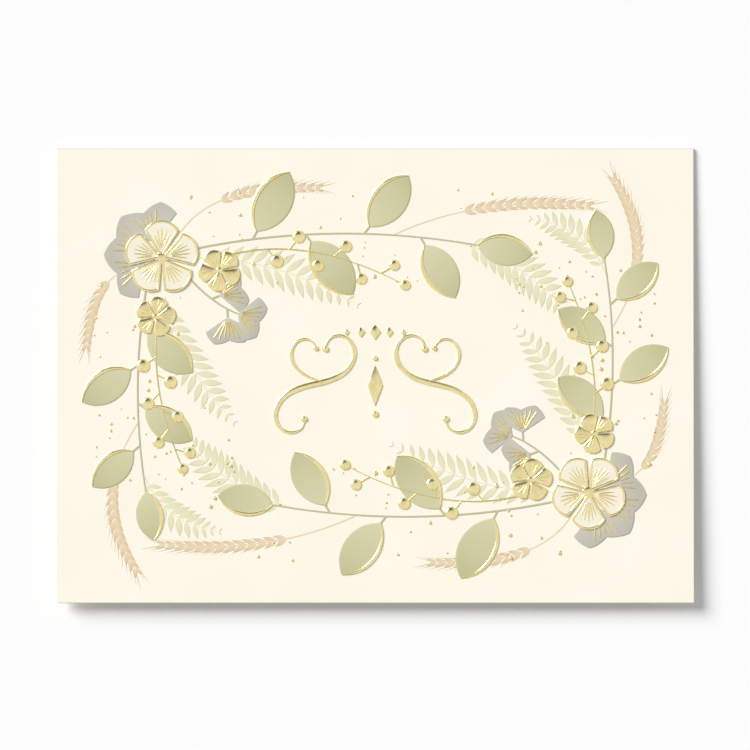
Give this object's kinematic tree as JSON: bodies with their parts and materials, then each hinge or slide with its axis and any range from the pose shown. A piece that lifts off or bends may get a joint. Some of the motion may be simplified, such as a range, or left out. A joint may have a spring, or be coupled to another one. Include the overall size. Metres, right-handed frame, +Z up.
{
  "type": "greeting card",
  "caption": "Landscape folded greeting card in cream stock with an embossed and foiled botanical garland in two corners and a scroll ornament.",
  "frame": {"origin": "middle of the closed card's footprint, on the face it lies on", "axes": "+X to the right along the fold, +Y towards the fold at the card's top, +Z up out of the front"},
  "size_m": [0.1778, 0.127, 0.0042],
  "materials": {
    "card_stock": "smooth matt cream card, flat pale inks and polished gold foil on the front"
  },
  "bodies": {
    "root": {"folded_card": "card_stock"}
  },
  "joints": []
}
